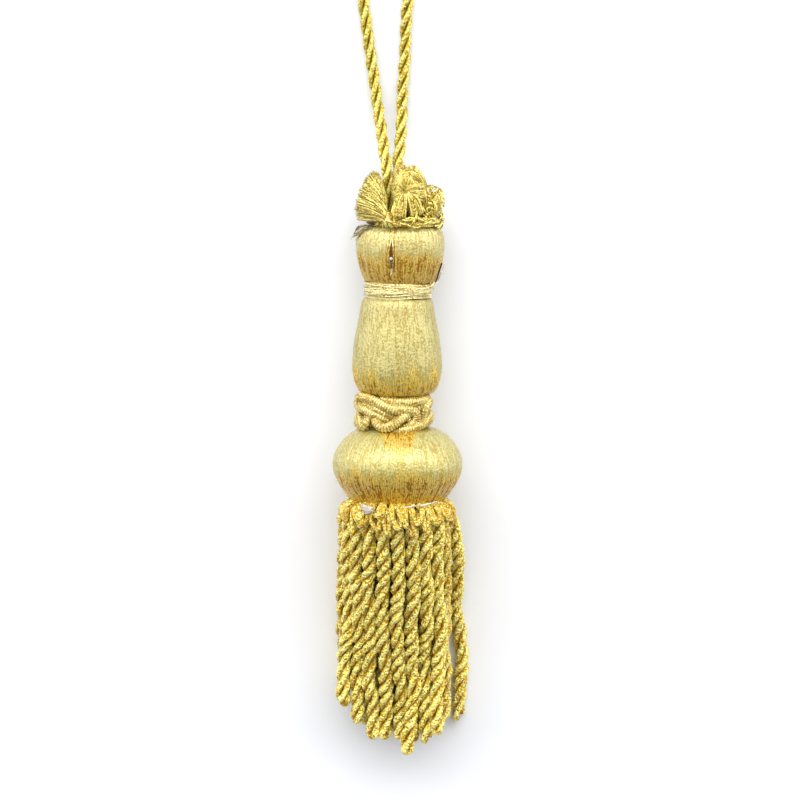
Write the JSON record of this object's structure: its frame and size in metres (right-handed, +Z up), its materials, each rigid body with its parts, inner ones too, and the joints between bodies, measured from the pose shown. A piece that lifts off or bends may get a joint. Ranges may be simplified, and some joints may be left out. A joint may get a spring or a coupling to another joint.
{
  "type": "silk tassel",
  "caption": "Gold metallic-thread tassel: wrapped turned head with bindings, a plaited collar and a ruff, a skirt of twisted bullion strands and a loop of twisted cord, lying on its back.",
  "frame": {"origin": "on the surface that the tassel lies on, in the middle of the tassel without its hanging loop, below the ball", "axes": "+Y along the tassel towards the hanging loop, +X across to the right as seen from above, +Z up from the surface"},
  "size_m": [0.0352, 0.2412, 0.0334],
  "materials": {
    "lower_ball": "gold metallic thread wrapped along the meridians, satin sheen",
    "pear_body": "pale gold metallic thread wrapped along the meridians, satin sheen",
    "upper_bulb": "gold metallic thread wrapped along the meridians, satin sheen",
    "neck_binding": "pale gold metallic thread wound round the neck",
    "ruff_binding": "twisted gold metallic thread",
    "plaited_collar": "pale gold covered cord with fine cross ribs",
    "ruff": "spread ends of gold metallic thread",
    "skirt": "twisted strands of crimped gold metallic thread, glittering",
    "hanging_loop": "twisted cord of gold metallic thread"
  },
  "bodies": {
    "root": {"lower_ball": "lower_ball", "pear_body": "pear_body", "upper_bulb": "upper_bulb", "neck_binding": "neck_binding", "ruff_binding": "ruff_binding", "plaited_collar": "plaited_collar", "ruff": "ruff", "skirt": "skirt", "hanging_loop": "hanging_loop"}
  },
  "joints": []
}
